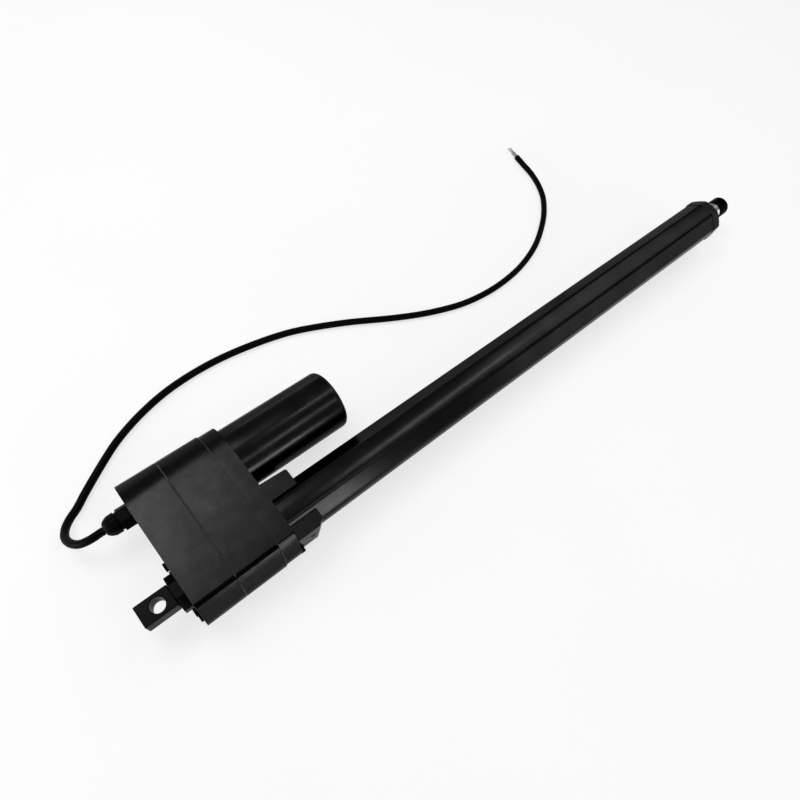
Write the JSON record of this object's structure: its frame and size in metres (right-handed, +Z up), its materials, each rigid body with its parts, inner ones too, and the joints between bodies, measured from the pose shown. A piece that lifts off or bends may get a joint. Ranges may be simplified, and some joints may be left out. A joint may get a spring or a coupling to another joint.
{
  "type": "linear actuator",
  "caption": "Electric linear actuator with a round motor beside a long octagonal tube, a chromed rod that slides out of it, a rear clevis and a loose cable",
  "frame": {"origin": "middle of the underside of the box round the actuator without its cable, on the surface that it lies on", "axes": "+X along the tube from the rear clevis to the rod end, +Y from the tube to the motor, +Z up, away from the surface that it lies on"},
  "size_m": [0.8733, 0.2872, 0.0721],
  "materials": {
    "cast_housing": "matte black powder coat on die-cast aluminium, fine orange-peel grain",
    "tube_black": "satin black anodised aluminium extrusion",
    "motor_black": "satin black enamel on a drawn steel can",
    "fastener_black": "black oxide steel",
    "plastic_black": "moulded black nylon",
    "rubber_black": "black nitrile rubber",
    "gasket_grey": "grey fibre gasket",
    "rod_chrome": "hard-chromed and polished steel",
    "steel_ground": "turned and ground steel",
    "bronze": "sintered bronze",
    "copper_wound": "enamelled copper winding and copper segments",
    "tinned_wire": "tinned copper strands",
    "sheath_grey": "pale grey flexible plastic",
    "board_green": "green solder mask on glass-fibre board",
    "magnet_dark": "sintered ferrite and carbon"
  },
  "bodies": {
    "housing": {"rear_cover": "cast_housing", "gear_housing": "cast_housing", "front_cover": "cast_housing", "rear_gasket": "gasket_grey", "front_gasket": "gasket_grey", "rear_screw_1": "fastener_black", "rear_screw_2": "fastener_black", "rear_screw_3": "fastener_black", "rear_screw_4": "fastener_black", "front_screw_1": "fastener_black", "front_screw_2": "fastener_black", "front_screw_3": "fastener_black", "cheek_screw_1": "fastener_black", "cheek_screw_2": "fastener_black", "rear_clevis": "fastener_black", "clevis_lock_ring": "fastener_black", "outer_tube": "tube_black", "tube_end_cap": "tube_black", "rod_wiper": "rubber_black", "guide_bush": "bronze", "tube_seal": "rubber_black", "rear_bearing": "steel_ground", "front_bearing": "steel_ground", "idler_shaft": "steel_ground", "idler_bracket": "cast_housing", "motor_can": "motor_black", "motor_end_plate": "steel_ground", "motor_magnet_1": "magnet_dark", "motor_magnet_2": "magnet_dark", "motor_rear_bearing": "steel_ground", "motor_nose_bearing": "steel_ground", "motor_brush_1": "magnet_dark", "motor_brush_2": "magnet_dark", "limit_switch_board": "board_green", "limit_switch_1": "plastic_black", "limit_switch_2": "plastic_black", "cable_gland_body": "plastic_black", "gland_seal": "rubber_black", "gland_nut": "plastic_black", "cable": "plastic_black", "cable_inner_sheath": "sheath_grey", "cable_conductor_1": "tinned_wire", "cable_conductor_2": "tinned_wire"},
    "motor_rotor": {"motor_shaft": "steel_ground", "motor_armature": "copper_wound", "motor_commutator": "copper_wound", "motor_pinion": "steel_ground"},
    "idler": {"idler_gear": "steel_ground", "idler_pinion": "steel_ground"},
    "screw": {"lead_screw": "steel_ground", "screw_stop_washer": "steel_ground", "screw_gear": "steel_ground"},
    "rod": {"piston_rod": "rod_chrome", "rod_end": "fastener_black", "drive_nut": "bronze"}
  },
  "joints": [
    {"name": "motor_spin", "type": "hinge", "parent": "housing", "child": "motor_rotor", "pos_m": [-0.3886, 0.036, 0.036], "axis": [-1, 0, 0], "range_deg": [0, 162450]},
    {"name": "idler_spin", "type": "hinge", "parent": "housing", "child": "idler", "pos_m": [-0.3886, 0.0045, 0.036], "axis": [-1, 0, 0], "range_deg": [-64980, 0]},
    {"name": "screw_spin", "type": "hinge", "parent": "housing", "child": "screw", "pos_m": [-0.3886, -0.036, 0.036], "axis": [-1, 0, 0], "range_deg": [0, 27360]},
    {"name": "rod_slide", "type": "slide", "parent": "housing", "child": "rod", "axis": [1, 0, 0], "range_m": [0, 0.608]}
  ],
  "couplings": [
    {"joint": "idler_spin", "follows": "motor_spin", "ratio": -0.4},
    {"joint": "screw_spin", "follows": "motor_spin", "ratio": 0.16842},
    {"joint": "rod_slide", "follows": "motor_spin", "m_per_rad": 0.00021444}
  ]
}
